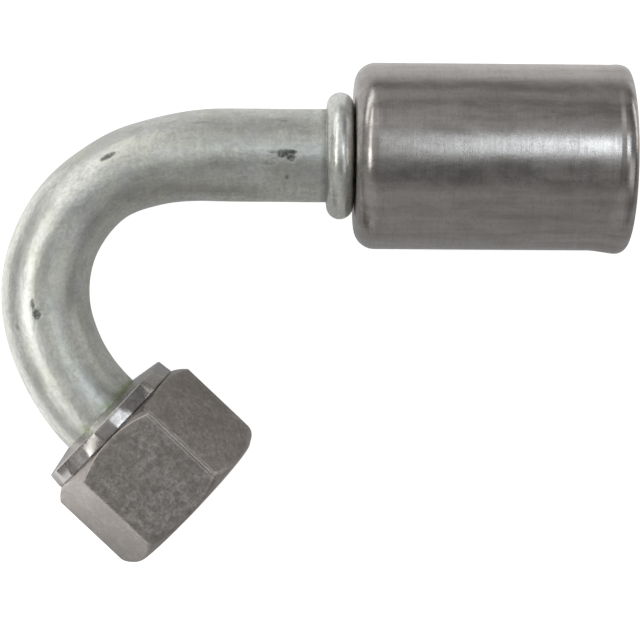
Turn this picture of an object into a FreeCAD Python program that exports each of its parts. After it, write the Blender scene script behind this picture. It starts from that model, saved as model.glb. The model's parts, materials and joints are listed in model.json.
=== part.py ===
import FreeCAD, Part
import math
import os

from FreeCAD import Placement, Rotation, Vector

# Bent hose-end fitting, in millimetres. The hose axis is X and the tube's bend lies in the XY plane.
# X = 0 is the hose stop: the inner face of the crimp shell's back wall. The hose goes in along -X.

# Tube: 1/2 in aluminium, bent as three tangent arcs
TUBE_R = 6.35
TUBE_BORE_R = 5.10
STRAIGHT_END_X = -20.2
BEND = [(35.5, 17.5), (18.2, 89.5), (26.4, 29.75)]
NUT_LEAD = 0.3

# Rolled bead against the outside of the shell, and the locking bead inside it
BEAD_R = 8.66
BEAD_WIDTH = 3.65
LOCK_BEAD_R = 7.40
LOCK_BEAD_WIDTH = 1.60
LOCK_BEAD_EDGE = 0.40

# Barbed hose nipple
NIPPLE_R = 5.15
NIPPLE_BORE_R = 4.05
NIPPLE_START_X = 3.20
NIPPLE_TIP_X = 33.00
TIP_CHAMFER = 0.70
BARB_R = 5.65
BARB_COUNT = 6
BARB_RAMP = 3.20
BARB_PITCH = 4.20
FIRST_BARB_X = 4.60
BORE_CONE = 2.00

# Crimp shell
SHELL_R = 12.70
SHELL_BORE_R = 11.40
SHELL_LENGTH = 37.30
BACK_WALL = 1.60
SHOULDER_R = 3.70
MOUTH_FLARE = 0.13
FLARE_START = 5.50
FLARE_TOP = 3.20
LIP = 1.80
LIP_END_R = 11.75
INNER_SHOULDER = 2.20

# Clearances
SPIN_CLEARANCE = 0.10
SIDE_CLEARANCE = 0.10
SEAL_CLEARANCE = 0.02

# Swivel nut, 3/4-16 thread, 7/8 in across flats
NUT_FLATS = 22.20
NUT_LENGTH = 17.00
NUT_TURN = -3.5
COLLAR_R = 11.00
COLLAR_BACK_R = 10.75
COLLAR_LENGTH = 2.10
COLLAR_DISH = 0.80
COLLAR_INNER_FACE = 1.40
CRIMP_FLATS = 12
CRIMP_FLAT_R = 10.72
CHAMFER_ANGLE = 40.0
FRONT_CHAMFER_ANGLE = 30.0
FRONT_FACE_R = 10.80
THREAD_MINOR_R = 8.70
THREAD_MAJOR_R = 9.53
CHAMBER_R = 9.70
THREAD_START = 9.20
MOUTH_CHAMFER = 0.80

# Tube's nose inside the nut
FLANGE_R = 8.30
FLANGE_START = 1.55
FLANGE_THICKNESS = 2.00
FLANGE_EDGE = 0.30
SEAT_R = 5.30
SEAT_WIDTH = 2.10
PILOT_R = 5.60
PILOT_BORE_R = 4.20
PILOT_END = 8.60
PILOT_CHAMFER = 0.60
ORING_SECTION_R = 0.89

SHELL_BACK_X = -BACK_WALL
BEAD_FRONT_X = SHELL_BACK_X - SIDE_CLEARANCE
BEAD_BACK_X = BEAD_FRONT_X - BEAD_WIDTH
MOUTH_X = SHELL_BACK_X + SHELL_LENGTH


def revolved(start, *steps):
    """Solid of revolution about X. A step is an (x, r) corner, or a pair: a point on an arc and its end."""
    edges = []
    here = Vector(start[0], start[1], 0)
    first = here
    for step in steps:
        if isinstance(step[0], tuple):
            middle = Vector(step[0][0], step[0][1], 0)
            end = Vector(step[1][0], step[1][1], 0)
            edges.append(Part.Arc(here, middle, end).toShape())
        else:
            end = Vector(step[0], step[1], 0)
            edges.append(Part.LineSegment(here, end).toShape())
        here = end
    edges.append(Part.LineSegment(here, first).toShape())
    face = Part.Face(Part.Wire(edges))
    return face.revolve(Vector(0, 0, 0), Vector(1, 0, 0), 360)


def corner_arc(centre_x, centre_r, radius, from_deg, to_deg):
    """Arc step for revolved(): middle and end of a rounded corner about (centre_x, centre_r)."""
    middle = math.radians((from_deg + to_deg) / 2)
    end = math.radians(to_deg)
    return (
        (centre_x + radius * math.cos(middle), centre_r + radius * math.sin(middle)),
        (centre_x + radius * math.cos(end), centre_r + radius * math.sin(end)),
    )


def heading(angle):
    """Direction of the tube's centreline after it has turned by angle degrees."""
    turn = math.radians(180 + angle)
    return Vector(math.cos(turn), math.sin(turn), 0)


def bend_path(start_x):
    """Edges of the centreline from start_x to the bend's end, and that end point."""
    corner = Vector(STRAIGHT_END_X, 0, 0)
    edges = [Part.LineSegment(Vector(start_x, 0, 0), corner).toShape()]
    here = corner
    turned = 0.0
    for radius, angle in BEND:
        centre = here + Vector(0, 0, 1).cross(heading(turned)) * radius
        points = []
        for part in (0.5, 1.0):
            out = Vector(0, 0, 1).cross(heading(turned + part * angle)) * -radius
            points.append(centre + out)
        edges.append(Part.Arc(here, points[0], points[1]).toShape())
        here = points[1]
        turned += angle
    return edges, here


BEND_ANGLE = sum(angle for radius, angle in BEND)
NUT_AXIS = heading(BEND_ANGLE)
NUT_BACK = bend_path(0)[1] + NUT_AXIS * NUT_LEAD
NUT_PLACE = Placement(NUT_BACK, Rotation(Vector(1, 0, 0), NUT_AXIS))


def swept_tube(radius, start_x, end_w):
    """Round bar along the centreline, from start_x to end_w past the nut's back face."""
    edges, bend_end = bend_path(start_x)
    edges.append(Part.LineSegment(bend_end, NUT_BACK + NUT_AXIS * end_w).toShape())
    ring = Part.Wire(Part.Circle(Vector(start_x, 0, 0), Vector(1, 0, 0), radius).toShape())
    return Part.Wire(edges).makePipeShell([ring], True, False)


def nipple_steps():
    """Outline of the barbs and the plain tip land."""
    steps = [(NIPPLE_START_X, NIPPLE_R)]
    for number in range(BARB_COUNT):
        x = FIRST_BARB_X + number * BARB_PITCH
        steps += [(x, NIPPLE_R), (x, BARB_R), (x + BARB_RAMP, NIPPLE_R)]
    steps += [(NIPPLE_TIP_X - TIP_CHAMFER, NIPPLE_R), (NIPPLE_TIP_X, NIPPLE_R - TIP_CHAMFER)]
    return steps


def bent_tube():
    """One-piece tube: rolled bead, locking bead and barbed nipple; flange and pilot inside the nut."""
    round_r = BEAD_WIDTH / 2
    lock_start = SIDE_CLEARANCE
    lock_end = lock_start + LOCK_BEAD_WIDTH
    lock_flat_r = LOCK_BEAD_R - LOCK_BEAD_EDGE
    hose_end = revolved(
        (BEAD_BACK_X, 0),
        (BEAD_BACK_X, BEAD_R - round_r),
        corner_arc(BEAD_BACK_X + round_r, BEAD_R - round_r, round_r, 180, 0),
        (BEAD_FRONT_X, TUBE_R),
        (lock_start, TUBE_R),
        (lock_start, lock_flat_r),
        corner_arc(lock_start + LOCK_BEAD_EDGE, lock_flat_r, LOCK_BEAD_EDGE, 180, 90),
        (lock_end - LOCK_BEAD_EDGE, LOCK_BEAD_R),
        corner_arc(lock_end - LOCK_BEAD_EDGE, lock_flat_r, LOCK_BEAD_EDGE, 90, 0),
        (lock_end, TUBE_R),
        *nipple_steps(),
        (NIPPLE_TIP_X, 0),
    )
    flange_end = FLANGE_START + FLANGE_THICKNESS
    nose = revolved(
        (FLANGE_START, 0),
        (FLANGE_START, FLANGE_R - FLANGE_EDGE),
        (FLANGE_START + FLANGE_EDGE, FLANGE_R),
        (flange_end - FLANGE_EDGE, FLANGE_R),
        (flange_end, FLANGE_R - FLANGE_EDGE),
        (flange_end, SEAT_R),
        (flange_end + SEAT_WIDTH, SEAT_R),
        (flange_end + SEAT_WIDTH, PILOT_R),
        (PILOT_END - PILOT_CHAMFER, PILOT_R),
        (PILOT_END, PILOT_R - PILOT_CHAMFER),
        (PILOT_END, 0),
    )
    nose.Placement = NUT_PLACE
    hose_bore = revolved(
        (0, 0),
        (0, TUBE_BORE_R),
        (BORE_CONE, NIPPLE_BORE_R),
        (NIPPLE_TIP_X + 1, NIPPLE_BORE_R),
        (NIPPLE_TIP_X + 1, 0),
    )
    pilot_bore = revolved(
        (FLANGE_START, 0),
        (FLANGE_START, TUBE_BORE_R),
        (FLANGE_START + BORE_CONE, PILOT_BORE_R),
        (PILOT_END + 1, PILOT_BORE_R),
        (PILOT_END + 1, 0),
    )
    pilot_bore.Placement = NUT_PLACE
    solid = swept_tube(TUBE_R, BEAD_BACK_X, FLANGE_START).fuse([hose_end, nose]).removeSplitter()
    bore = swept_tube(TUBE_BORE_R, 0, FLANGE_START).fuse([hose_bore, pilot_bore]).removeSplitter()
    return solid.cut(bore)


def crimp_shell():
    """Drawn steel cup, open towards the hose, with a hole in its back wall that turns on the tube."""
    flare_r = SHELL_R + MOUTH_FLARE
    hole_r = TUBE_R + SPIN_CLEARANCE
    shoulder_x = SHELL_BACK_X + SHOULDER_R
    lip_x = MOUTH_X - LIP
    diagonal = math.sqrt(0.5)
    lip_middle = (lip_x + LIP * diagonal, LIP_END_R + (flare_r - LIP_END_R) * diagonal)
    return revolved(
        (SHELL_BACK_X, hole_r),
        (SHELL_BACK_X, SHELL_R - SHOULDER_R),
        corner_arc(shoulder_x, SHELL_R - SHOULDER_R, SHOULDER_R, 180, 90),
        (MOUTH_X - FLARE_START, SHELL_R),
        (MOUTH_X - FLARE_TOP, flare_r),
        (lip_x, flare_r),
        (lip_middle, (MOUTH_X, LIP_END_R)),
        (MOUTH_X, SHELL_BORE_R),
        (INNER_SHOULDER, SHELL_BORE_R),
        corner_arc(INNER_SHOULDER, SHELL_BORE_R - INNER_SHOULDER, INNER_SHOULDER, 90, 180),
        (0, hole_r),
    )


def nut_body():
    """Hexagon and collar, before the inside is cut. X is the nut's axis, 0 at the collar's back corner."""
    corner_r = NUT_FLATS / 2 / math.cos(math.radians(30))
    slope = math.tan(math.radians(CHAMFER_ANGLE))
    front_slope = math.tan(math.radians(FRONT_CHAMFER_ANGLE))
    corners = []
    for number in range(7):
        angle = math.radians(NUT_TURN + 30 + 60 * number)
        corners.append(Vector(COLLAR_LENGTH, corner_r * math.sin(angle), corner_r * math.cos(angle)))
    hexagon = Part.Face(Part.makePolygon(corners)).extrude(Vector(NUT_LENGTH - COLLAR_LENGTH, 0, 0))
    wide_r = corner_r + 1
    rounds = revolved(
        (COLLAR_LENGTH, 0),
        (COLLAR_LENGTH, COLLAR_R),
        (COLLAR_LENGTH + (wide_r - COLLAR_R) * slope, wide_r),
        (NUT_LENGTH - (wide_r - FRONT_FACE_R) * front_slope, wide_r),
        (NUT_LENGTH, FRONT_FACE_R),
        (NUT_LENGTH, 0),
    )
    bore_r = TUBE_R + SPIN_CLEARANCE
    collar = revolved(
        (-COLLAR_DISH, 0),
        (-COLLAR_DISH, bore_r),
        (0, COLLAR_BACK_R),
        (COLLAR_LENGTH, COLLAR_R),
        (COLLAR_LENGTH, 0),
    )
    return hexagon.common(rounds).fuse(collar.cut(crimp_cuts()))


def crimp_cuts():
    """Bars whose inner sides are the flats that the closing jaws left round the collar."""
    bars = []
    length = COLLAR_LENGTH + COLLAR_DISH
    width = COLLAR_R
    for number in range(CRIMP_FLATS):
        bar = Part.makeBox(length, width, COLLAR_R, Vector(-COLLAR_DISH, -width / 2, CRIMP_FLAT_R))
        bar.rotate(Vector(0, 0, 0), Vector(1, 0, 0), number * 360 / CRIMP_FLATS)
        bars.append(bar)
    return Part.makeCompound(bars)


def swivel_nut():
    """Nut with its inside: collar bore on the tube, flange chamber, thread core and mouth chamfer."""
    bore_r = TUBE_R + SPIN_CLEARANCE
    thread_end = NUT_LENGTH - MOUTH_CHAMFER
    mouth_r = THREAD_MAJOR_R + 0.1
    inside = revolved(
        (-COLLAR_DISH - 1, 0),
        (-COLLAR_DISH - 1, bore_r),
        (COLLAR_INNER_FACE, bore_r),
        (COLLAR_INNER_FACE, CHAMBER_R),
        (THREAD_START - (CHAMBER_R - THREAD_MINOR_R), CHAMBER_R),
        (THREAD_START, THREAD_MINOR_R),
        (thread_end, THREAD_MINOR_R),
        (NUT_LENGTH, mouth_r),
        (NUT_LENGTH + 1, mouth_r),
        (NUT_LENGTH + 1, 0),
    )
    nut = nut_body().cut(inside).removeSplitter()
    nut.Placement = NUT_PLACE
    return nut


def port_oring():
    """Seal in its seat on the pilot, against the flange."""
    ring_r = SEAT_R + ORING_SECTION_R + SEAL_CLEARANCE
    x = FLANGE_START + FLANGE_THICKNESS + ORING_SECTION_R + SEAL_CLEARANCE
    ring = Part.makeTorus(ring_r, ORING_SECTION_R, Vector(x, 0, 0), Vector(1, 0, 0))
    ring.Placement = NUT_PLACE.multiply(ring.Placement)
    return ring


def main():
    os.makedirs("parts", exist_ok=True)
    for make in (bent_tube, crimp_shell, swivel_nut, port_oring):
        shape = make()
        solid = shape.Solids[0]
        box = solid.BoundBox
        print(
            make.__name__,
            "solids", len(shape.Solids),
            "valid", shape.isValid(),
            "volume %.1f" % shape.Volume,
            "x %.2f..%.2f y %.2f..%.2f z %.2f..%.2f"
            % (box.XMin, box.XMax, box.YMin, box.YMax, box.ZMin, box.ZMax),
        )
        solid.exportStep(os.path.join("parts", make.__name__ + ".step"))


main()
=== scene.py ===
import json
import math

import bpy
from mathutils import Matrix, Vector, noise


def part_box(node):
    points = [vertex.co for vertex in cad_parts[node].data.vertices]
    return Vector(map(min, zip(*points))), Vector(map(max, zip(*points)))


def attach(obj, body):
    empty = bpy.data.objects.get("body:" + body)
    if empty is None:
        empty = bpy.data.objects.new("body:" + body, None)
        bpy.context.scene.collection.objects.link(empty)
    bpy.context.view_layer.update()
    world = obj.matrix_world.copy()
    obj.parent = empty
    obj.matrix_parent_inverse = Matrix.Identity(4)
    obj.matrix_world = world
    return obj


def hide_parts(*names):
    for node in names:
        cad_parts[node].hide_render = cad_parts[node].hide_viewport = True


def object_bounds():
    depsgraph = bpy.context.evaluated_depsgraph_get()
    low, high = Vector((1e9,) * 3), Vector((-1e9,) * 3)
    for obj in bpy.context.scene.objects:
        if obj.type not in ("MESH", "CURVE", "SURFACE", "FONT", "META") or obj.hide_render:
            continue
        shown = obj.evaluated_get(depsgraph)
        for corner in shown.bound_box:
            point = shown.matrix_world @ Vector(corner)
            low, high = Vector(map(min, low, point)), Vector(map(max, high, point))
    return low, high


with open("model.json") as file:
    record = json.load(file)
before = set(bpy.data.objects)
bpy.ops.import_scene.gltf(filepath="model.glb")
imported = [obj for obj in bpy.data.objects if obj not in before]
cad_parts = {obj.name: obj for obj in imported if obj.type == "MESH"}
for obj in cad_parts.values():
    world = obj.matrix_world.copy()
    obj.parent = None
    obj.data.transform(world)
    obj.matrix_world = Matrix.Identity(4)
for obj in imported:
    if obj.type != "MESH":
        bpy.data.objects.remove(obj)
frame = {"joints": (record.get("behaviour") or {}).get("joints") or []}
CAD_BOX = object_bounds()
MM = 0.001
SHELL_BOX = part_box("crimp_shell")
SWIVEL = next(joint for joint in frame["joints"] if joint["name"] == "nut_swivel")

# ---------------------------------------------------------------- the part's own dimensions, in millimetres

TUBE_R = 6.35
TUBE_BORE_R = 5.10
STRAIGHT_END = 20.2
# The bend's arcs from the shell's end, each as radius and degrees, and the straight between them and the nut.
BEND = [(35.5, 17.5), (18.2, 89.5), (26.4, 29.75)]
NUT_LEAD = 0.3
# How much the tube is flattened in the plane of the bend, at these angles round the bend; how far before the
# bend that starts; the share by which the tube grows taller for it; and the waviness of its wall.
FLATTENING = [
    (0.0, 0.005), (15.0, 0.081), (35.0, 0.129), (60.0, 0.092), (90.0, 0.053), (115.0, 0.037), (137.0, 0.0),
]
FLATTENING_LEAD = 3.0
FLATTENED_RISE = 0.3
RIPPLE = 0.022

BEAD_R = 8.66
BEAD_WIDTH = 3.65
BEAD_END = 1.70
LOCK_BEAD_R = 7.40
NIPPLE_R = 5.15
NIPPLE_BORE_R = 4.05
NIPPLE_TIP = 33.0
BARB_R = 5.65
BARBS = 6
FIRST_BARB = 4.6
BARB_PITCH = 4.2
BARB_SLOPE = 3.2
NIPPLE_CHAMFER = 0.7
# The locking bead inside the shell, against its back wall: where the ramp up to it starts, and its two ends;
# and where the bore has narrowed to the nipple's.
LOCK_BEAD_RAMP = -3.2
LOCK_BEAD_START = -1.7
LOCK_BEAD_END = -0.1
NIPPLE_BORE_START = -2.0
NECK_R = TUBE_R - 0.02

SHELL_R = 12.70
SHELL_BACK = SHELL_BOX[0].x / MM
SHELL_MOUTH = SHELL_BOX[1].x / MM
SHELL_BORE_R = 11.40
SHOULDER_R = 3.70
# The mouth: its radius, what that gains below and loses above, how far before the end its flare starts, how
# much earlier that is below, and where the flare ends.
MOUTH_R = 12.81
MOUTH_FULLER_BELOW = 0.32
MOUTH_FLATTER_ABOVE = 0.07
FLARE_START = 2.4
FLARE_EARLIER_BELOW = 2.4
FLARE_TOP = 1.85
LIP = 1.5
LIP_END_R = 11.75
HOLE_R = 6.45

# The nut across its flats, and the degrees by which it is turned about its axis.
NUT_FLATS = 22.20
NUT_TURN = -3.5
NUT_LENGTH = 17.0
COLLAR_R = 11.0
COLLAR_LENGTH = 2.1
COLLAR_BACK_R = 10.86
COLLAR_DISH = 0.8
CHAMFER_SLOPE = math.tan(math.radians(40.0))
FRONT_CHAMFER_SLOPE = math.tan(math.radians(30.0))
FRONT_FACE_R = 10.8
THREAD_MINOR_R = 8.70
THREAD_MAJOR_R = 9.53
THREAD_PITCH = 25.4 / 16
THREAD_START = 9.2
THREAD_CREST_R = THREAD_MINOR_R + 0.05
MOUTH_CHAMFER = 0.8
CHAMBER_R = 9.70
CHAMBER_START = 1.4

FLANGE_R = 8.30
FLANGE_START = 1.55
FLANGE_END = 3.55
SEAT_R = 5.30
SEAT_END = 5.65
PILOT_R = 5.60
PILOT_BORE_R = 4.20
PILOT_END = 8.60
PILOT_CHAMFER = 0.6
PILOT_BORE_END = FLANGE_START + 2.0
ORING_SECTION_R = 0.88
ORING_R = SEAT_R + 0.92
ORING_MIDDLE = FLANGE_END + 0.91


# ---------------------------------------------------------------- frames: hose axis, bend and nut axis

def heading(angle):
    """Direction along the tube, towards the nut, after this many degrees of bend."""
    turn = math.radians(180.0 + angle)
    return Vector((math.cos(turn), math.sin(turn), 0.0))


UP = Vector((0.0, 0.0, 1.0))
BEND_LENGTH = sum(radius * math.radians(angle) for radius, angle in BEND)
NUT_BACK_S = STRAIGHT_END + BEND_LENGTH + NUT_LEAD


def centreline(s):
    """Point, direction and bend angle at distance s along the tube, from the hose stop towards the nut."""
    if s <= STRAIGHT_END:
        return Vector((-s, 0.0, 0.0)), heading(0.0), 0.0
    here = Vector((-STRAIGHT_END, 0.0, 0.0))
    left = s - STRAIGHT_END
    turned = 0.0
    for radius, angle in BEND:
        length = radius * math.radians(angle)
        part = min(left, length) / length * angle
        centre = here + UP.cross(heading(turned)) * radius
        here = centre - UP.cross(heading(turned + part)) * radius
        turned += part
        left -= length
        if left <= 0.0:
            return here, heading(turned), turned
    return here + heading(turned) * left, heading(turned), turned


def flattening(s):
    """Share by which the tube is narrower in the plane of the bend."""
    if s < STRAIGHT_END:
        return FLATTENING[0][1] * max(0.0, 1.0 - (STRAIGHT_END - s) / FLATTENING_LEAD)
    angle = centreline(s)[2]
    for (a0, f0), (a1, f1) in zip(FLATTENING, FLATTENING[1:]):
        if angle <= a1:
            t = (angle - a0) / (a1 - a0)
            t = 0.5 * t + 0.5 * t * t * (3.0 - 2.0 * t)
            return f0 + (f1 - f0) * t
    return 0.0


NUT_BACK = Vector(SWIVEL["pos_m"]) / MM
NUT_AXIS = Vector(SWIVEL["axis"]).normalized()


# ---------------------------------------------------------------- profiles

CRISP = -1.0


def corner(x, r, fillet=0.0, steps=4, div=1):
    """A corner of an outline: place, rounding radius, steps in the rounding, and pieces in the next side.

    A radius of 0 is a plain point on a smooth run, and CRISP one that counts as an edge.
    """
    return (x, r, fillet, steps, div)


def arc_corners(x, r, across, up, from_deg, to_deg, steps):
    """Plain points on an elliptical arc about (x, r)."""
    points = []
    for k in range(steps + 1):
        a = math.radians(from_deg + (to_deg - from_deg) * k / steps)
        points.append(corner(x + across * math.cos(a), r + up * math.sin(a)))
    return points


# How far from a corner its wear, or the painted shade of an inward corner, reaches, and a distance at which
# neither shows.
EDGE_REACH = 0.3
FAR = 9.0
# The opening above which a corner is too blunt to show either, and the most of a side that a rounding takes.
BLUNT = math.radians(160.0)
ROUNDING_SHARE = 0.46


def outline(corners):
    """Closed outline with rounded corners as (x, r, edge).

    Edge is 1 at an outward corner, where the finishes show wear, -1 in an inward one, where they paint shade,
    and 0 away from both.
    """
    count = len(corners)
    arcs = []
    outer = []
    inner = []
    area = 0.0
    for i in range(count):
        a, b = corners[i], corners[(i + 1) % count]
        area += a[0] * b[1] - b[0] * a[1]
    turn_sign = 1.0 if area > 0 else -1.0
    for i in range(count):
        p, q, n = corners[i - 1], corners[i], corners[(i + 1) % count]
        here = Vector(q[:2])
        back = Vector(p[:2]) - here
        ahead = Vector(n[:2]) - here
        cross = (-back).x * ahead.y - (-back).y * ahead.x
        crisp = outer if cross * turn_sign > 0.0 else inner
        if q[2] <= 0.0 or q[3] < 1 or back.length < 1e-6 or ahead.length < 1e-6:
            arcs.append([here] * (q[3] + 1 if q[2] > 0.0 else 1))
            if q[2] < 0.0:
                crisp.append(here)
            continue
        opening = back.angle(ahead)
        if opening > math.pi - 1e-3:
            arcs.append([here] * (q[3] + 1))
            continue
        room = ROUNDING_SHARE * min(back.length, ahead.length)
        reach = min(q[2] / math.tan(opening / 2), room)
        start = here + back.normalized() * reach
        end = here + ahead.normalized() * reach
        radius = reach * math.tan(opening / 2)
        inward = (back.normalized() + ahead.normalized()).normalized()
        middle = here + inward * (radius / math.sin(opening / 2))
        a0 = math.atan2(start.y - middle.y, start.x - middle.x)
        a1 = math.atan2(end.y - middle.y, end.x - middle.x)
        sweep = (a1 - a0 + math.pi) % (2 * math.pi) - math.pi
        points = []
        for k in range(q[3] + 1):
            a = a0 + sweep * k / q[3]
            points.append(middle + Vector((math.cos(a), math.sin(a))) * radius)
        arcs.append(points)
        if opening < BLUNT:
            crisp.append((start + end) / 2)
    result = []
    for i in range(count):
        result += arcs[i]
        start, end = arcs[i][-1], arcs[(i + 1) % count][0]
        for k in range(1, corners[i][4]):
            result.append(start.lerp(end, k / corners[i][4]))
    shaded = []
    for point in result:
        worn = min([(point - place).length for place in outer] + [FAR])
        to_inward_corner = min([(point - place).length for place in inner] + [FAR])
        # Wear at outward corners, less painted shade in inward ones.
        edge = math.exp(-(worn / EDGE_REACH) ** 2) - math.exp(-(to_inward_corner / EDGE_REACH) ** 2)
        shaded.append((point.x, point.y, edge))
    return shaded


# ---------------------------------------------------------------- meshes

# Faces that meet at more than this are shaded with a crisp edge between them.
SHARP = math.radians(38.0)
# How many sides the round meshes have.
TUBE_SIDES = 112
SHELL_SIDES = 224
SEAL_SIDES = 96
SEAL_SECTION_SIDES = 28


def skin(name, rings, body, node):
    """Closed surface through rings of (point, unrolled place, edge), in millimetres.

    The last ring meets the first. The unrolled place is the point on the straightened tube, or on the piece
    laid along its own axis, and the finishes are laid out on it.
    """
    count = len(rings[0])
    vertices = [item[0] * MM for ring in rings for item in ring]
    faces = []
    for i in range(len(rings)):
        j = (i + 1) % len(rings)
        for k in range(count):
            m = (k + 1) % count
            faces.append((i * count + k, i * count + m, j * count + m, j * count + k))
    mesh = bpy.data.meshes.new(name)
    mesh.from_pydata(vertices, [], faces)
    mesh.validate()
    unrolled = mesh.attributes.new("unrolled", "FLOAT_VECTOR", "POINT")
    unrolled.data.foreach_set("vector", [c for ring in rings for item in ring for c in item[1]])
    edge = mesh.attributes.new("edge", "FLOAT", "POINT")
    edge.data.foreach_set("value", [item[2] for ring in rings for item in ring])
    mesh.shade_smooth()
    mesh.set_sharp_from_angle(angle=SHARP)
    piece = bpy.data.objects.new(name, mesh)
    bpy.context.scene.collection.objects.link(piece)
    outward(mesh)
    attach(piece, body)
    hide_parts(node)
    return piece


def outward(mesh):
    """Turns the faces outwards if the closed surface came out inside out."""
    volume = 0.0
    for face in mesh.polygons:
        v = [mesh.vertices[i].co for i in face.vertices]
        for k in range(1, len(v) - 1):
            volume += v[0].dot(v[k].cross(v[k + 1]))
    if volume < 0.0:
        mesh.flip_normals()


def even_angles(count):
    return [2 * math.pi * k / count for k in range(count)]


def spun_rings(profile_at, angles):
    """Rings round the X axis: one ring for each point of the outline that profile_at(angle) returns."""
    columns = [profile_at(angle) for angle in angles]
    rings = []
    for i in range(len(columns[0])):
        ring = []
        for angle, column in zip(angles, columns):
            x, r, edge = column[i]
            place = Vector((x, r * math.sin(angle), r * math.cos(angle)))
            ring.append((place, place, edge))
        rings.append(ring)
    return rings


def moved(rings, origin, axis):
    """The same rings with their X axis laid along axis, and their Z axis kept upright."""
    side = UP.cross(axis)
    out = []
    for ring in rings:
        out.append([(origin + axis * p.x + side * p.y + UP * p.z, u, e) for p, u, e in ring])
    return out


# ---------------------------------------------------------------- bent tube

def tube_outline():
    """Wall of the straightened tube: outside from the nipple's tip to the pilot's end, then the bore."""
    bead_back = BEAD_END + BEAD_WIDTH
    half = BEAD_WIDTH / 2
    flange_s = NUT_BACK_S + FLANGE_START
    seat_s = NUT_BACK_S + FLANGE_END
    pilot_s = NUT_BACK_S + SEAT_END
    end_s = NUT_BACK_S + PILOT_END
    steps = [
        corner(-NIPPLE_TIP, NIPPLE_BORE_R, 0.15, 3, 1),
        corner(-NIPPLE_TIP, NIPPLE_R - NIPPLE_CHAMFER, 0.15, 3, 1),
        corner(-NIPPLE_TIP + NIPPLE_CHAMFER, NIPPLE_R, 0.15, 3, 2),
    ]
    for number in reversed(range(BARBS)):
        x = FIRST_BARB + number * BARB_PITCH
        steps += [
            corner(-x - BARB_SLOPE, NIPPLE_R, 0.2, 2, 3),
            corner(-x, BARB_R, 0.12, 3, 1),
            corner(-x, NIPPLE_R, 0.15, 2, 1),
        ]
    steps += [
        corner(LOCK_BEAD_RAMP, NIPPLE_R, 0.3, 2, 2),
        corner(LOCK_BEAD_START, TUBE_R, 0.2, 2, 1),
        corner(LOCK_BEAD_START, LOCK_BEAD_R, 0.4, 4, 1),
        corner(LOCK_BEAD_END, LOCK_BEAD_R, 0.4, 4, 1),
        corner(LOCK_BEAD_END, NECK_R, 0.08, 2, 2),
        corner(BEAD_END - 0.02, NECK_R, 0.08, 3, 1),
        *arc_corners(BEAD_END + half, BEAD_R - half, half, half, 180.0, 0.0, 26),
        corner(bead_back, TUBE_R, 0.45, 5, 1),
        corner(bead_back + 1.2, TUBE_R, 0.0, 0, 14),
        corner(STRAIGHT_END - 2.0, TUBE_R, 0.0, 0, 100),
        corner(flange_s, TUBE_R, 0.1, 2, 2),
        corner(flange_s, FLANGE_R, 0.25, 3, 3),
        corner(seat_s, FLANGE_R, 0.25, 3, 2),
        corner(seat_s, SEAT_R, 0.15, 3, 2),
        corner(pilot_s, SEAT_R, 0.1, 2, 1),
        corner(pilot_s, PILOT_R, 0.1, 3, 3),
        corner(end_s - PILOT_CHAMFER, PILOT_R, 0.15, 3, 1),
        corner(end_s, PILOT_R - PILOT_CHAMFER, 0.15, 3, 1),
        corner(end_s, PILOT_BORE_R, 0.15, 3, 3),
        corner(NUT_BACK_S + PILOT_BORE_END, PILOT_BORE_R, 0.2, 2, 2),
        corner(flange_s, TUBE_BORE_R, 0.2, 2, 60),
        corner(0.0, TUBE_BORE_R, 0.2, 2, 2),
        corner(NIPPLE_BORE_START, NIPPLE_BORE_R, 0.2, 2, 16),
    ]
    return outline(steps)


def tube_rings():
    """Rings of the bent tube, flattened a little in the bend and with the faint waviness of a drawn tube."""
    wavy_from = BEAD_END + BEAD_WIDTH + 0.8
    rings = []
    for s, r, edge in tube_outline():
        point, direction, _ = centreline(s)
        out = -UP.cross(direction)
        squeeze = flattening(s)
        ring = []
        for a in even_angles(TUBE_SIDES):
            across = Vector((math.cos(a), math.sin(a)))
            straight = Vector((s, r * across.x, r * across.y))
            ripple = 0.0
            if r > TUBE_BORE_R + 0.3 and wavy_from < s < NUT_BACK_S:
                ripple = RIPPLE * noise.noise(Vector((s / 7.0, straight.y / 5.0, straight.z / 5.0)))
            place = point + out * (across.x * (r + ripple) * (1.0 - squeeze))
            place += UP * (across.y * (r + ripple) * (1.0 + FLATTENED_RISE * squeeze))
            ring.append((place, straight, edge))
        rings.append(ring)
    return rings


# ---------------------------------------------------------------- crimp shell

def shell_outline(angle):
    """Wall of the shell at this angle, its mouth fuller towards -Y."""
    low = max(0.0, -math.sin(angle)) ** 2
    high = max(0.0, math.sin(angle)) ** 2
    wall = MOUTH_R + MOUTH_FULLER_BELOW * low - MOUTH_FLATTER_ABOVE * high
    flare_x = SHELL_MOUTH - FLARE_START - FLARE_EARLIER_BELOW * low
    return outline([
        corner(SHELL_BACK, HOLE_R, 0.15, 3, 8),
        corner(SHELL_BACK, SHELL_R, SHOULDER_R, 18, 60),
        corner(flare_x, SHELL_R, 2.0 + 9.0 * low, 6, 1),
        corner(SHELL_MOUTH - FLARE_TOP, wall, 1.2, 5, 1),
        *arc_corners(SHELL_MOUTH - LIP, LIP_END_R, LIP, wall - LIP_END_R, 90.0, 0.0, 14),
        corner(SHELL_MOUTH, SHELL_BORE_R, 0.2, 3, 40),
        corner(0.0, SHELL_BORE_R, 2.2, 8, 6),
        corner(0.0, HOLE_R, 0.15, 3, 2),
    ])


# ---------------------------------------------------------------- swivel nut

HEXAGON_ROUND = 0.32
FLAT_STEPS = 56
CORNER_STEPS = 8
CORNER_WEAR_REACH = 0.5
# Painted shade in the groove between collar and hexagon: the side it is darkest on, its reach and how dark it
# is.
GROOVE_SHADE_SIDE = math.radians(25.0)
GROOVE_SHADE_REACH = 0.85
GROOVE_SHADE_LEVEL = 1.3


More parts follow.
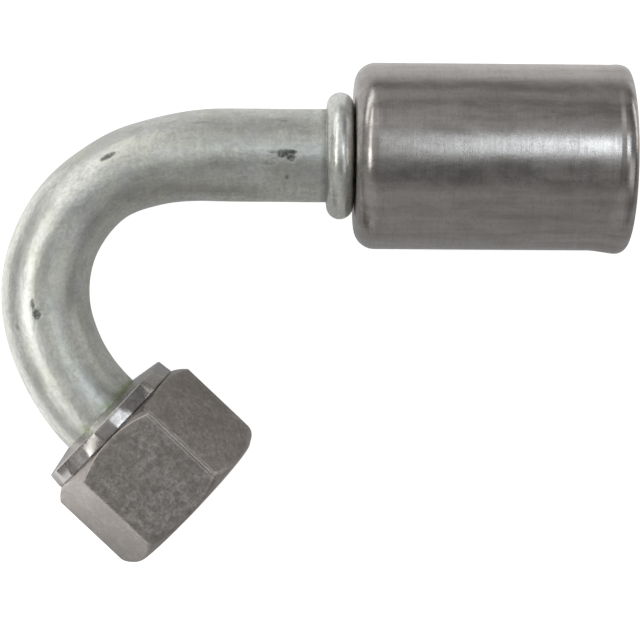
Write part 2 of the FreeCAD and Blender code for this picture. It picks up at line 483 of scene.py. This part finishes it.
def nut_angles():
    """Angles round the nut: evenly across each flat, and close together over the rounded corners."""
    flat_end = (NUT_FLATS / 2 - HEXAGON_ROUND) * math.tan(math.pi / 6)
    round_from = math.degrees(math.atan(flat_end / (NUT_FLATS / 2)))
    flat_to = round_from - 1.0
    sector = [flat_to * (2.0 * k / FLAT_STEPS - 1.0) for k in range(FLAT_STEPS + 1)]
    sector += [round_from - 0.5]
    sector += [round_from + (60.0 - 2 * round_from) * k / CORNER_STEPS for k in range(CORNER_STEPS + 1)]
    sector += [60.5 - round_from]
    return [math.radians(NUT_TURN + 60.0 * n + local) for n in range(6) for local in sector]


def from_flat(angle):
    """Angle from the middle of the nearest flat, in radians, at most a twelfth of a turn either way."""
    turned = angle - math.radians(NUT_TURN)
    return (turned + math.pi / 6) % (math.pi / 3) - math.pi / 6


def hexagon_r(angle):
    """Distance from the axis to the hexagon's side, with slightly rounded corners."""
    local = from_flat(angle)
    flat_r = NUT_FLATS / 2
    inner = flat_r - HEXAGON_ROUND
    side = flat_r / math.cos(local)
    away = math.pi / 6 - abs(local)
    centre = inner / math.cos(math.pi / 6)
    across = centre * math.sin(away)
    if across >= HEXAGON_ROUND:
        return side
    arc = centre * math.cos(away) + math.sqrt(HEXAGON_ROUND ** 2 - across ** 2)
    return min(side, arc)


def corner_nearness(angle):
    """1 at a corner of the hexagon, falling to 0 within about a millimetre."""
    away = (math.pi / 6 - abs(from_flat(angle))) * NUT_FLATS / 2
    return math.exp(-(away / CORNER_WEAR_REACH) ** 2)


# Marks of the closing jaws round the collar: where each faces, in degrees from the uppermost flat, its depth,
# and how much deeper it is at the back of the collar.
JAW_MARKS = [
    (-68.0, 0.16, 0.10), (-51.0, 0.20, -0.10), (-37.0, 0.12, 0.45), (-24.0, 0.20, 0.56), (-10.5, 0.26, -0.26),
    (4.0, 0.20, -0.06), (19.0, 0.24, -0.04), (32.0, 0.23, 0.12), (45.0, 0.16, -0.22), (60.0, 0.20, 0.10),
    (82.0, 0.25, 0.30), (101.0, 0.20, 0.05), (119.0, 0.24, 0.35), (139.0, 0.22, 0.10), (158.0, 0.26, 0.0),
    (176.0, 0.18, 0.40), (195.0, 0.23, 0.10), (213.0, 0.25, 0.25), (232.0, 0.20, 0.0), (251.0, 0.24, 0.30),
    (270.0, 0.22, 0.10),
]
JAW_REACH = 40.0


def collar_r(angle, radius, back):
    """Collar radius, pressed in where a jaw mark faces this way.

    Back is 1 at the collar's back and 0 at its front.
    """
    best = radius
    for facing, depth, deeper in JAW_MARKS:
        away = (math.degrees(angle) - NUT_TURN - facing + 180.0) % 360.0 - 180.0
        if abs(away) < JAW_REACH:
            best = min(best, (radius - depth - deeper * back) / math.cos(math.radians(away)))
    return best


def nut_outline(angle):
    """Wall of the nut at this angle, with the thread cut into it, the wear of its edges and painted shade in
    its hollows.
    """
    hex_r = hexagon_r(angle)
    rear_r = collar_r(angle, COLLAR_BACK_R, 1.0)
    front_r = collar_r(angle, COLLAR_R, 0.0)
    rear_w = COLLAR_LENGTH + (hex_r - COLLAR_R) * CHAMFER_SLOPE
    front_w = NUT_LENGTH - (hex_r - FRONT_FACE_R) * FRONT_CHAMFER_SLOPE
    mouth_r = THREAD_MAJOR_R + 0.1
    steps = [
        corner(-COLLAR_DISH, HOLE_R, 0.1, 2, 8),
        corner(0.0, rear_r, 0.25, 4, 4),
        corner(COLLAR_LENGTH - 0.15, front_r, 0.08, 3, 2),
        corner(COLLAR_LENGTH + 0.02, front_r - 0.08, CRISP, 0, 2),
        corner(COLLAR_LENGTH + 0.16, max(COLLAR_R, front_r) + 0.03, 0.0, 0, 6),
        corner(rear_w, hex_r, 0.22, 4, 30),
        corner(front_w, hex_r, 3.0, 8, 2),
        corner(NUT_LENGTH, FRONT_FACE_R, 0.9, 5, 3),
        corner(NUT_LENGTH, mouth_r, 0.15, 3, 12),
        corner(NUT_LENGTH - MOUTH_CHAMFER, THREAD_CREST_R, 0.0, 0, 112),
        corner(THREAD_START, THREAD_CREST_R, 0.0, 0, 2),
        corner(THREAD_START - (CHAMBER_R - THREAD_MINOR_R), CHAMBER_R, 0.15, 2, 6),
        corner(CHAMBER_START, CHAMBER_R, 0.2, 3, 4),
        corner(CHAMBER_START, HOLE_R, 0.1, 2, 3),
    ]
    sheltered = max(0.0, math.cos(angle - GROOVE_SHADE_SIDE)) ** 3
    shaped = []
    for w, r, edge in outline(steps):
        # Painted shade in the groove in front of the collar, darkest on one side.
        if w > COLLAR_LENGTH:
            in_groove = math.exp(-((w - COLLAR_LENGTH - 0.2) / GROOVE_SHADE_REACH) ** 2)
            edge = max(-1.0, edge - GROOVE_SHADE_LEVEL * sheltered * in_groove)
        # The hexagon's side, worn mostly along its corners.
        if hex_r * 0.93 < r and COLLAR_LENGTH + 0.3 < w < NUT_LENGTH - 0.3:
            edge = max(0.12 * edge, 0.35 * corner_nearness(angle))
        # The thread's groove, with worn crests and roots darkened with painted shade, fading in over its
        # first turn.
        if r < mouth_r - 0.05 and w > THREAD_START - 0.1:
            groove = 0.5 - 0.5 * math.cos(2 * math.pi * w / THREAD_PITCH - angle)
            fade = min(1.0, (w - THREAD_START + 0.1) / THREAD_PITCH)
            r = max(r, THREAD_MINOR_R + (THREAD_MAJOR_R - THREAD_MINOR_R) * groove * fade)
            edge = 0.9 * max(0.0, 0.4 - groove) - 0.9 * max(0.0, groove - 0.6)
        shaped.append((w, r, edge))
    return shaped


# ---------------------------------------------------------------- seal

def oring_outline(angle):
    """Section of the seal, the same at every angle."""
    points = []
    for a in even_angles(SEAL_SECTION_SIDES):
        x = ORING_MIDDLE + ORING_SECTION_R * math.cos(a)
        r = ORING_R + ORING_SECTION_R * math.sin(a)
        points.append((x, r, 0.0))
    return points


# ---------------------------------------------------------------- material building blocks

class Shading:
    """A material's node tree and the few nodes that all the finishes share."""

    def __init__(self, name):
        self.material = bpy.data.materials.new(name)
        self.material.use_nodes = True
        self.tree = self.material.node_tree
        self.tree.nodes.clear()
        self.shader = self.tree.nodes.new("ShaderNodeBsdfPrincipled")
        out = self.tree.nodes.new("ShaderNodeOutputMaterial")
        self.link(self.shader.outputs[0], out.inputs[0])

    def link(self, a, b):
        self.tree.links.new(a, b)

    def put(self, socket, value):
        """Links a node's output to the socket, or sets a plain value on it."""
        if isinstance(value, bpy.types.NodeSocket):
            self.link(value, socket)
        else:
            socket.default_value = value

    def attribute(self, name, output):
        node = self.tree.nodes.new("ShaderNodeAttribute")
        node.attribute_name = name
        return node.outputs[output]

    def noise(self, vector, per_mm, detail, rough=0.55, distortion=0.0):
        """Noise over a place in mm, with its own fineness along each of the three axes."""
        mapping = self.tree.nodes.new("ShaderNodeMapping")
        self.link(vector, mapping.inputs["Vector"])
        mapping.inputs["Scale"].default_value = per_mm
        node = self.tree.nodes.new("ShaderNodeTexNoise")
        self.link(mapping.outputs[0], node.inputs["Vector"])
        node.inputs["Scale"].default_value = 1.0
        node.inputs["Detail"].default_value = detail
        node.inputs["Roughness"].default_value = rough
        node.inputs["Distortion"].default_value = distortion
        return node.outputs[0]

    def span(self, value, low, high, to_low=0.0, to_high=1.0):
        """Maps low..high to to_low..to_high, smoothly and clamped."""
        node = self.tree.nodes.new("ShaderNodeMapRange")
        node.interpolation_type = "SMOOTHSTEP"
        self.link(value, node.inputs["Value"])
        node.inputs["From Min"].default_value = low
        node.inputs["From Max"].default_value = high
        node.inputs["To Min"].default_value = to_low
        node.inputs["To Max"].default_value = to_high
        return node.outputs[0]

    def math(self, kind, a, b=0.0):
        node = self.tree.nodes.new("ShaderNodeMath")
        node.operation = kind
        self.put(node.inputs[0], a)
        self.put(node.inputs[1], b)
        return node.outputs[0]

    def mix(self, amount, a, b):
        node = self.tree.nodes.new("ShaderNodeMix")
        node.data_type = "RGBA"
        self.put(node.inputs[0], amount)
        self.put(node.inputs[6], a)
        self.put(node.inputs[7], b)
        return node.outputs[2]

    def bump(self, height, strength, distance_mm, before=None):
        """Normal with this height's bumps added to those of the normal before."""
        node = self.tree.nodes.new("ShaderNodeBump")
        node.inputs["Strength"].default_value = strength
        node.inputs["Distance"].default_value = distance_mm * MM
        self.link(height, node.inputs["Height"])
        if before is not None:
            self.link(before, node.inputs["Normal"])
        return node.outputs[0]

    def parts(self, vector):
        """The three components of a vector or colour."""
        node = self.tree.nodes.new("ShaderNodeSeparateXYZ")
        self.link(vector, node.inputs[0])
        return node.outputs


def grey(level, warm=0.0, green=0.0):
    """A near-neutral colour: warm adds red and takes blue, green adds green."""
    return (level * (1.0 + warm), level * (1.0 + green), level * (1.0 - warm), 1.0)


def steel_grey(level, warm):
    """Warm grey with a touch less green, for the dark plating of the shell and the nut."""
    return grey(level, warm, -0.01)


# ---------------------------------------------------------------- finishes

# Small dark dents on the tube: distance from the hose stop, degrees round the tube from the outside of the
# bend over the top, half length and half width in mm, and darkness. The last four are on its underside.
TUBE_MARKS = [
    (11.1, 89.0, 1.00, 0.58, 1.0), (10.3, 87.0, 0.80, 0.34, 1.0), (12.5, 87.0, 0.9, 0.26, 0.5),
    (10.3, 94.0, 0.75, 0.56, 1.0), (10.8, 118.0, 0.32, 0.30, 0.6), (34.0, 62.0, 0.95, 0.42, 0.85),
    (55.3, 79.0, 0.6, 0.34, 0.8), (56.6, 83.0, 0.85, 0.60, 1.0), (57.8, 51.0, 0.6, 0.45, 0.55),
    (11.2, 44.0, 0.8, 0.25, 0.45), (22.2, 46.0, 1.1, 0.25, 0.40), (13.5, 101.0, 1.4, 0.35, 0.30),
    (30.0, 200.0, 0.5, 0.4, 0.8), (52.0, 235.0, 0.8, 0.3, 0.9), (74.0, 280.0, 0.6, 0.4, 0.7),
    (14.0, 300.0, 0.7, 0.4, 0.8),
]


def dents(m, s, y, z, fine):
    """How dark each place is for the tube's dents, whose outlines the fine noise makes ragged."""
    marks = None
    for along, round_deg, long, wide, dark in TUBE_MARKS:
        a = math.radians(round_deg)
        d_s = m.math("DIVIDE", m.math("SUBTRACT", s, along), long)
        d_y = m.math("DIVIDE", m.math("SUBTRACT", y, TUBE_R * math.cos(a)), wide)
        d_z = m.math("DIVIDE", m.math("SUBTRACT", z, TUBE_R * math.sin(a)), wide)
        square = m.math("ADD", m.math("MULTIPLY", d_s, d_s), m.math("MULTIPLY", d_y, d_y))
        square = m.math("ADD", square, m.math("MULTIPLY", d_z, d_z))
        uneven = m.math("ADD", square, m.math("MULTIPLY", m.math("SUBTRACT", fine, 0.5), 4.6))
        here = m.span(uneven, -0.2, 1.6, dark, 0.0)
        marks = here if marks is None else m.math("MAXIMUM", marks, here)
    return marks


def aluminium():
    """The tube's mill finish: clouds, drawing and cross marks, scuffs, dents and a green stain at the nut."""
    m = Shading("tube_mill_aluminium")
    place = m.attribute("unrolled", "Vector")
    edge = m.attribute("edge", "Fac")
    s, y, z = m.parts(place)
    cloud = m.noise(place, (0.13, 0.26, 0.26), 6.0, 0.62, 0.5)
    fine = m.noise(place, (2.0, 2.0, 2.0), 5.0, 0.7)
    drawn = m.noise(place, (0.10, 1.5, 1.5), 4.0, 0.6)
    cross = m.noise(place, (1.1, 0.16, 0.16), 5.0, 0.65, 0.3)
    scuffs = m.noise(place, (0.42, 0.55, 0.55), 7.0, 0.72, 1.0)
    hue = m.noise(place, (0.16, 0.30, 0.30), 4.0, 0.6, 0.6)
    dark_tone = m.mix(m.span(hue, 0.40, 0.60), grey(0.62, 0.01, 0.02), grey(0.62, 0.05, 0.055))
    light_tone = m.mix(m.span(hue, 0.40, 0.60), grey(0.79, 0.01, 0.02), grey(0.79, 0.05, 0.055))
    colour = m.mix(m.span(cloud, 0.36, 0.66), dark_tone, light_tone)
    colour = m.mix(m.span(drawn, 0.45, 0.70, 0.0, 0.35), colour, grey(0.84, 0.03, 0.05))
    on_straight = m.span(s, STRAIGHT_END + 14.0, STRAIGHT_END, 0.25, 1.0)
    patch = m.math("MULTIPLY", on_straight, m.span(hue, 0.40, 0.56))
    cross_dark = m.math("MULTIPLY", m.span(cross, 0.50, 0.64, 0.0, 0.40), patch)
    cross_light = m.math("MULTIPLY", m.span(cross, 0.48, 0.36, 0.0, 0.45), patch)
    colour = m.mix(cross_dark, colour, grey(0.46, 0.03, 0.04))
    colour = m.mix(cross_light, colour, grey(0.92, 0.01, 0.02))
    colour = m.mix(m.span(scuffs, 0.50, 0.66, 0.0, 0.50), colour, grey(0.42, 0.03, 0.05))
    colour = m.mix(m.span(fine, 0.40, 0.64, 0.0, 0.60), colour, grey(0.52, 0.03, 0.05))
    # Painted shade in inward corners.
    colour = m.mix(m.math("MULTIPLY", m.span(edge, 0.0, -1.0), 0.6), colour, grey(0.12, 0.03, 0.05))
    marks = dents(m, s, y, z, fine)
    colour = m.mix(m.math("MULTIPLY", marks, 0.85), colour, grey(0.06, 0.03, 0.05))
    stain_from = m.span(s, NUT_BACK_S - 2.4, NUT_BACK_S - 0.5)
    stain_to = m.span(s, NUT_BACK_S + 0.3, NUT_BACK_S + 1.2, 1.0, 0.0)
    stain_noise = m.span(m.noise(place, (0.3, 0.30, 0.30), 3.0), 0.42, 0.58)
    stain = m.math("MULTIPLY", m.math("MULTIPLY", stain_from, stain_to), stain_noise)
    colour = m.mix(m.math("MULTIPLY", stain, 0.8), colour, (0.22, 0.31, 0.09, 1.0))
    rolled = m.span(s, BEAD_END + BEAD_WIDTH + 0.3, BEAD_END + BEAD_WIDTH - 0.2)
    polish = m.math("MULTIPLY", rolled, m.span(fine, 0.36, 0.60, 0.50, 0.20))
    colour = m.mix(polish, colour, grey(0.88, 0.0, 0.02))
    m.put(m.shader.inputs["Base Color"], colour)
    rough = m.span(cloud, 0.3, 0.7, 0.36, 0.48)
    rough = m.math("SUBTRACT", rough, m.math("MULTIPLY", rolled, 0.10))
    rough = m.math("ADD", rough, m.math("MULTIPLY", m.math("SUBTRACT", scuffs, 0.5), 0.25))
    rough = m.math("ADD", rough, m.math("MULTIPLY", marks, 0.25))
    m.put(m.shader.inputs["Roughness"], rough)
    m.shader.inputs["Metallic"].default_value = 1.0
    normal = m.bump(drawn, 0.22, 0.05)
    normal = m.bump(m.math("MULTIPLY", cross, patch), 0.22, 0.08, normal)
    grain_left = m.math("SUBTRACT", 1.0, m.math("MULTIPLY", rolled, 0.75))
    normal = m.bump(m.math("MULTIPLY", fine, grain_left), 0.35, 0.05, normal)
    normal = m.bump(m.math("MULTIPLY", scuffs, grain_left), 0.30, 0.10, normal)
    normal = m.bump(cloud, 0.35, 0.35, normal)
    normal = m.bump(m.math("SUBTRACT", 1.0, marks), 0.6, 0.12, normal)
    m.put(m.shader.inputs["Normal"], normal)
    return m.material


def turned_steel():
    """The shell's dark steel: fine turning lines, bands, blotches and smears."""
    m = Shading("shell_dark_steel")
    place = m.attribute("unrolled", "Vector")
    edge = m.attribute("edge", "Fac")
    lines = m.noise(place, (2.6, 0.12, 0.12), 5.0, 0.7)
    bands = m.noise(place, (0.30, 0.06, 0.06), 4.0, 0.6, 0.4)
    blotch = m.noise(place, (0.22, 0.40, 0.40), 6.0, 0.68, 0.4)
    speck = m.noise(place, (2.0, 1.3, 1.3), 5.0, 0.72)
    smear = m.noise(place, (0.05, 0.45, 0.45), 5.0, 0.62, 0.3)
    colour = m.mix(m.span(blotch, 0.34, 0.68), steel_grey(0.38, 0.055), steel_grey(0.46, 0.045))
    colour = m.mix(m.span(smear, 0.49, 0.62, 0.0, 0.38), colour, steel_grey(0.27, 0.07))
    colour = m.mix(m.span(smear, 0.48, 0.36, 0.0, 0.36), colour, steel_grey(0.58, 0.04))
    colour = m.mix(m.span(bands, 0.42, 0.68, 0.0, 0.30), colour, steel_grey(0.48, 0.04))
    colour = m.mix(m.span(lines, 0.50, 0.74, 0.0, 0.35), colour, steel_grey(0.27, 0.07))
    colour = m.mix(m.span(speck, 0.52, 0.72, 0.0, 0.55), colour, steel_grey(0.26, 0.07))
    worn = m.math("MULTIPLY", m.span(edge, 0.0, 1.0), m.span(speck, 0.3, 0.6, 0.2, 0.6))
    colour = m.mix(worn, colour, steel_grey(0.60, 0.02))
    # Painted shade in inward corners.
    colour = m.mix(m.math("MULTIPLY", m.span(edge, 0.0, -1.0), 0.6), colour, steel_grey(0.08, 0.07))
    m.put(m.shader.inputs["Base Color"], colour)
    rough = m.span(blotch, 0.3, 0.7, 0.22, 0.30)
    rough = m.math("ADD", rough, m.math("MULTIPLY", m.math("SUBTRACT", speck, 0.5), 0.10))
    rough = m.math("ADD", rough, m.math("MULTIPLY", m.math("SUBTRACT", lines, 0.5), 0.16))
    m.put(m.shader.inputs["Roughness"], rough)
    m.shader.inputs["Metallic"].default_value = 1.0
    normal = m.bump(lines, 0.16, 0.04)
    normal = m.bump(bands, 0.12, 0.12, normal)
    normal = m.bump(speck, 0.05, 0.05, normal)
    m.put(m.shader.inputs["Normal"], normal)
    return m.material


def plated_steel():
    """The nut's mottled dark plating, with worn corners and a smoother pressed collar."""
    m = Shading("nut_dark_plating")
    place = m.attribute("unrolled", "Vector")
    edge = m.attribute("edge", "Fac")
    cloud = m.noise(place, (0.20, 0.20, 0.20), 4.0, 0.6, 0.3)
    mottle = m.noise(place, (1.1, 1.1, 1.1), 6.0, 0.70, 0.5)
    grain = m.noise(place, (2.6, 2.6, 2.6), 5.0, 0.72)
    colour = m.mix(m.span(mottle, 0.36, 0.66), steel_grey(0.40, 0.08), steel_grey(0.56, 0.06))
    colour = m.mix(m.span(cloud, 0.42, 0.60, 0.0, 0.60), colour, steel_grey(0.38, 0.08))
    colour = m.mix(m.span(grain, 0.42, 0.68, 0.0, 0.60), colour, steel_grey(0.28, 0.08))
    worn = m.math("MULTIPLY", m.span(edge, 0.1, 1.0), m.span(grain, 0.30, 0.62, 0.05, 0.55))
    colour = m.mix(worn, colour, steel_grey(0.62, 0.04))
    pressed = m.span(m.parts(place)[0], COLLAR_LENGTH - 0.05, COLLAR_LENGTH + 0.15, 1.0, 0.0)
    bright = m.math("MULTIPLY", pressed, m.span(grain, 0.35, 0.65, 0.75, 0.45))
    colour = m.mix(bright, colour, steel_grey(0.47, 0.03))
    # Painted shade in inward corners, in the groove in front of the collar and in the thread's roots.
    colour = m.mix(m.math("MULTIPLY", m.span(edge, 0.0, -1.0), 0.55), colour, steel_grey(0.05, 0.05))
    m.put(m.shader.inputs["Base Color"], colour)
    rough = m.span(mottle, 0.3, 0.7, 0.32, 0.44)
    rough = m.math("SUBTRACT", rough, m.math("MULTIPLY", worn, 0.12))
    rough = m.math("SUBTRACT", rough, m.math("MULTIPLY", pressed, 0.10))
    m.put(m.shader.inputs["Roughness"], rough)
    m.shader.inputs["Metallic"].default_value = 1.0
    faces = m.math("SUBTRACT", 1.0, m.math("MULTIPLY", pressed, 0.85))
    normal = m.bump(m.math("MULTIPLY", mottle, faces), 0.25, 0.10)
    normal = m.bump(m.math("MULTIPLY", grain, faces), 0.35, 0.05, normal)
    m.put(m.shader.inputs["Normal"], normal)
    return m.material


def green_rubber():
    """The seal's rubber, a little uneven in colour and gloss."""
    m = Shading("seal_green_rubber")
    place = m.attribute("unrolled", "Vector")
    dust = m.noise(place, (1.5, 1.5, 1.5), 4.0, 0.6)
    skin_grain = m.noise(place, (6.0, 6.0, 6.0), 3.0, 0.6)
    colour = m.mix(m.span(dust, 0.35, 0.7), (0.03, 0.20, 0.10, 1.0), (0.06, 0.30, 0.15, 1.0))
    m.put(m.shader.inputs["Base Color"], colour)
    m.put(m.shader.inputs["Roughness"], m.span(dust, 0.3, 0.7, 0.38, 0.55))
    m.put(m.shader.inputs["Normal"], m.bump(skin_grain, 0.3, 0.02))
    return m.material


# ---------------------------------------------------------------- the pieces

tube = skin("bent_tube_detail", tube_rings(), "tube", "bent_tube")
tube.data.materials.append(aluminium())

shell_rings = spun_rings(shell_outline, even_angles(SHELL_SIDES))
shell = skin("crimp_shell_detail", shell_rings, "shell", "crimp_shell")
shell.data.materials.append(turned_steel())

nut_rings = moved(spun_rings(nut_outline, nut_angles()), NUT_BACK, NUT_AXIS)
nut = skin("swivel_nut_detail", nut_rings, "nut", "swivel_nut")
nut.data.materials.append(plated_steel())

seal_rings = moved(spun_rings(oring_outline, even_angles(SEAL_SIDES)), NUT_BACK, NUT_AXIS)
seal = skin("port_oring_detail", seal_rings, "tube", "port_oring")
seal.data.materials.append(green_rubber())


# ---------------------------------------------------------------- floor, light and camera

LOWEST_Z = CAD_BOX[0].z
MIDDLE = (CAD_BOX[0] + CAD_BOX[1]) / 2
FLOOR_HALF_SIZE = 4.0
# Emission of the floor and brightness of the sky as the camera sees them.
FLOOR_OWN_LIGHT = 0.75
SKY_SEEN = 0.93
# Watts per square metre of an area light of brightness 1.
AREA_LIGHT_POWER = 4.0

# Brightness of the floor as the object reflects it, by place along Y in mm from the hose axis, and of a
# brighter patch towards -X and -Y, by place along X.
FLOOR_LIGHT = [(-200.0, 0.37), (-8.0, 0.37), (6.0, 0.78), (62.0, 0.78), (95.0, 0.28), (200.0, 0.25)]
FLOOR_LEFT_LIGHT = [(-200.0, 0.0), (-110.0, 0.0), (-88.0, 1.3), (-56.0, 1.3), (-42.0, 0.0)]
# Where along X the floor dims towards -X, and to what share; and where along Y the patch fades in towards -Y.
FLOOR_DIMS = (-115.0, -95.0)
FLOOR_DIM_SHARE = 0.35
PATCH_FADES_IN = (32.0, 8.0)


def ramp_nodes(tree, value, low, high, stops):
    """Colour ramp over value, given as (place, level) stops between low and high."""
    place = tree.nodes.new("ShaderNodeMapRange")
    place.inputs["From Min"].default_value = low
    place.inputs["From Max"].default_value = high
    tree.links.new(value, place.inputs["Value"])
    ramp = tree.nodes.new("ShaderNodeValToRGB")
    elements = ramp.color_ramp.elements
    elements.remove(elements[-1])
    for i, (at, level) in enumerate(stops):
        at = (at - low) / (high - low)
        element = elements[0] if i == 0 else elements.new(at)
        element.position = at
        element.color = (level, level, level, 1.0)
    tree.links.new(place.outputs[0], ramp.inputs[0])
    return ramp.outputs[0]


def pale_floor():
    """Floor that the camera sees plain and pale, and that the metal reflects with the ramps above."""
    size = FLOOR_HALF_SIZE
    mesh = bpy.data.meshes.new("floor")
    corners = [(-size, -size), (size, -size), (size, size), (-size, size)]
    mesh.from_pydata([(x, y, LOWEST_Z) for x, y in corners], [], [(0, 1, 2, 3)])
    floor = bpy.data.objects.new("floor", mesh)
    bpy.context.scene.collection.objects.link(floor)
    m = Shading("floor_pale")
    m.shader.inputs["Base Color"].default_value = (0.86, 0.86, 0.86, 1.0)
    m.shader.inputs["Roughness"].default_value = 0.9
    m.shader.inputs["Specular IOR Level"].default_value = 0.0
    m.shader.inputs["Emission Color"].default_value = (1.0, 1.0, 1.0, 1.0)
    m.shader.inputs["Emission Strength"].default_value = FLOOR_OWN_LIGHT
    tree = m.tree
    spot = tree.nodes.new("ShaderNodeNewGeometry")
    x = m.math("DIVIDE", m.parts(spot.outputs["Position"])[0], MM)
    y = m.math("DIVIDE", m.parts(spot.outputs["Position"])[1], MM)
    glow = tree.nodes.new("ShaderNodeEmission")
    behind = ramp_nodes(tree, y, FLOOR_LIGHT[0][0], FLOOR_LIGHT[-1][0], FLOOR_LIGHT)
    behind = m.math("MULTIPLY", m.parts(behind)[0], m.span(x, *FLOOR_DIMS, FLOOR_DIM_SHARE, 1.0))
    left = ramp_nodes(tree, x, FLOOR_LEFT_LIGHT[0][0], FLOOR_LEFT_LIGHT[-1][0], FLOOR_LEFT_LIGHT)
    left = m.math("MULTIPLY", m.parts(left)[0], m.span(y, *PATCH_FADES_IN))
    m.link(m.math("MAXIMUM", behind, left), glow.inputs["Strength"])
    path = tree.nodes.new("ShaderNodeLightPath")
    choose = tree.nodes.new("ShaderNodeMixShader")
    m.link(path.outputs["Is Camera Ray"], choose.inputs[0])
    m.link(glow.outputs[0], choose.inputs[1])
    m.link(m.shader.outputs[0], choose.inputs[2])
    output = next(node for node in tree.nodes if node.type == "OUTPUT_MATERIAL")
    m.link(choose.outputs[0], output.inputs[0])
    mesh.materials.append(m.material)


WHITE = (1.0, 1.0, 1.0)
CREAM = (1.0, 1.0, 0.97)
COOL = (0.84, 0.93, 1.0)
# Soft lights: name, direction from the object, distance, width and height in metres, brightness and colour.
SOFTBOXES = [
    ("strip_light", (0.244, 0.262, 1.0), 0.715, 0.105, 0.27, 3.2, COOL),
    ("left_light", (-0.43, 0.0, 0.39), 0.59, 0.12, 0.18, 3.5, CREAM),
    ("upper_left_light", (-0.42, 0.36, 0.39), 0.69, 0.13, 0.60, 1.6, CREAM),
    ("upper_light", (-0.12, 0.77, 0.64), 0.60, 0.22, 0.28, 0.32, WHITE),
    ("right_fill", (0.58, -0.24, 0.75), 0.60, 0.42, 0.30, 0.62, WHITE),
    ("far_left_light", (-0.62, 0.8, 0.14), 0.60, 0.14, 0.50, 1.2, WHITE),
    ("far_right_light", (0.8, 0.45, 0.13), 0.60, 0.13, 0.45, 1.6, WHITE),
]
# Place of a smaller light over the bend, in mm, tilted away so that it hardly reaches the shell.
BEND_LIGHT = Vector((-132.0, -77.0, 78.0))


def panel(name, place, facing, width, height, radiance, colour):
    """Rectangular light at place, in metres, shining along facing, with its height in line with +Y."""
    back = -Vector(facing).normalized()
    side = Vector((0.0, 1.0, 0.0)).cross(back).normalized()
    upright = back.cross(side)
    light = bpy.data.lights.new(name, "AREA")
    light.shape = "RECTANGLE"
    light.size = width
    light.size_y = height
    light.energy = radiance * width * height * AREA_LIGHT_POWER
    light.color = colour
    lamp = bpy.data.objects.new(name, light)
    turn = Matrix((side, upright, back)).transposed().to_4x4()
    lamp.matrix_world = Matrix.Translation(place) @ turn
    lamp.visible_camera = False
    bpy.context.scene.collection.objects.link(lamp)


def softbox(name, towards, distance, width, height, radiance, colour):
    """Panel that shines at the object from the direction towards."""
    direction = Vector(towards).normalized()
    panel(name, MIDDLE + direction * distance, -direction, width, height, radiance, colour)


# Brightness of the studio round the object by direction: degrees from overhead, positive towards +Y.
STUDIO = [
    (-180.0, 0.385), (-44.0, 0.385), (-38.0, 0.36), (-33.0, 0.15), (-14.0, 0.15), (-4.0, 0.28),
    (6.0, 0.48), (28.0, 0.50), (38.0, 0.43), (48.0, 0.30), (56.0, 0.27), (69.0, 0.28), (76.0, 0.38),
    (81.5, 0.72), (87.0, 0.38), (94.0, 0.24), (180.0, 0.25),
]
# The factor on it by how far the direction leans, from -1 at -X to 1 at +X.
STUDIO_SIDES = [(-1.0, 1.2), (-0.35, 1.2), (0.16, 0.85), (0.36, 0.55), (1.0, 0.55)]


def studio_light():
    """Light from all round: plain to the camera, and the ramps above to reflections and shading."""
    world = bpy.data.worlds.new("studio")
    bpy.context.scene.world = world
    world.use_nodes = True
    tree = world.node_tree
    tree.nodes.clear()
    out = tree.nodes.new("ShaderNodeOutputWorld")
    seen = tree.nodes.new("ShaderNodeBackground")
    seen.inputs[0].default_value = (SKY_SEEN, SKY_SEEN, SKY_SEEN, 1.0)
    lit = tree.nodes.new("ShaderNodeBackground")
    choose = tree.nodes.new("ShaderNodeMixShader")
    path = tree.nodes.new("ShaderNodeLightPath")
    way = tree.nodes.new("ShaderNodeTexCoord")
    split = tree.nodes.new("ShaderNodeSeparateXYZ")
    lean = tree.nodes.new("ShaderNodeMath")
    lean.operation = "ARCTAN2"
    for a, b in (
        (way.outputs["Generated"], split.inputs[0]),
        (split.outputs[1], lean.inputs[0]),
        (split.outputs[2], lean.inputs[1]),
        (ramp_nodes(tree, split.outputs[0], -1.0, 1.0, STUDIO_SIDES), lit.inputs[1]),
        (path.outputs["Is Camera Ray"], choose.inputs[0]),
        (lit.outputs[0], choose.inputs[1]),
        (seen.outputs[0], choose.inputs[2]),
        (choose.outputs[0], out.inputs[0]),
    ):
        tree.links.new(a, b)
    stops = [(math.radians(degrees), level) for degrees, level in STUDIO]
    tree.links.new(ramp_nodes(tree, lean.outputs[0], -math.pi, math.pi, stops), lit.inputs[0])


# Where the camera looks and from how far, in mm; the axis it is turned about from straight above, as long as
# the turn in degrees; and its lens.
VIEW_TARGET = Vector((-6.08, -22.46, 0.0))
VIEW_DISTANCE = 330.0
VIEW_TILT = Vector((-3.0, -1.5, 0.366))
LENS = 135.5


def camera():
    data = bpy.data.cameras.new("camera")
    data.lens = LENS
    data.sensor_width = 36.0
    turn = Matrix.Rotation(math.radians(VIEW_TILT.length), 3, VIEW_TILT.normalized())
    view = bpy.data.objects.new("camera", data)
    place = (VIEW_TARGET + turn @ (UP * VIEW_DISTANCE)) * MM
    view.matrix_world = Matrix.Translation(place) @ turn.to_4x4()
    bpy.context.scene.collection.objects.link(view)
    bpy.context.scene.camera = view


pale_floor()
studio_light()
for box_light in SOFTBOXES:
    softbox(*box_light)
panel("bend_light", BEND_LIGHT * MM, (-0.4, -0.25, -1.0), 0.10, 0.11, 2.3, CREAM)
camera()
bpy.context.scene.view_settings.view_transform = "Standard"
